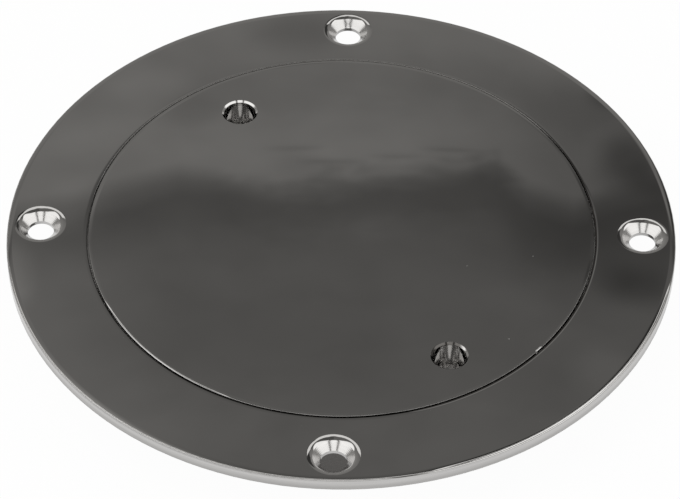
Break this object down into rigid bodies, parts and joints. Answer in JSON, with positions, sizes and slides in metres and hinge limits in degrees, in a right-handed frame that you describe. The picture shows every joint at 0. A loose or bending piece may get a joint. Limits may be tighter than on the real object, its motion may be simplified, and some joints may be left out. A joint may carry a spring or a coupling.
{
  "type": "round screw-in deck plate",
  "caption": "Flush round stainless deck plate: a flanged ring with countersunk screw holes, and a threaded lid with a seal and blind key holes.",
  "frame": {"origin": "on the plate's axis, at the level of the flange's underside, which lies on the deck", "axes": "+Z out of the deck along the axis of the plate; +X through one of the four screw holes"},
  "size_m": [0.146, 0.146, 0.0168],
  "materials": {
    "ring_steel": "polished 316 stainless steel casting",
    "lid_steel": "polished 316 stainless steel casting",
    "seal_rubber": "smooth nitrile rubber"
  },
  "bodies": {
    "ring": {"deck_ring": "ring_steel"},
    "seal": {"lid_seal": "seal_rubber"},
    "lid": {"screw_lid": "lid_steel"}
  },
  "joints": [
    {"name": "lid_rise", "type": "slide", "parent": "ring", "child": "seal", "axis": [0, 0, 1], "range_m": [0, 0.015]},
    {"name": "lid_turn", "type": "hinge", "parent": "seal", "child": "lid", "pos_m": [0, 0, 0], "axis": [0, 0, 1], "range_deg": [0, 1800]}
  ],
  "couplings": [
    {"joint": "lid_rise", "follows": "lid_turn", "m_per_rad": 0.00047746}
  ]
}
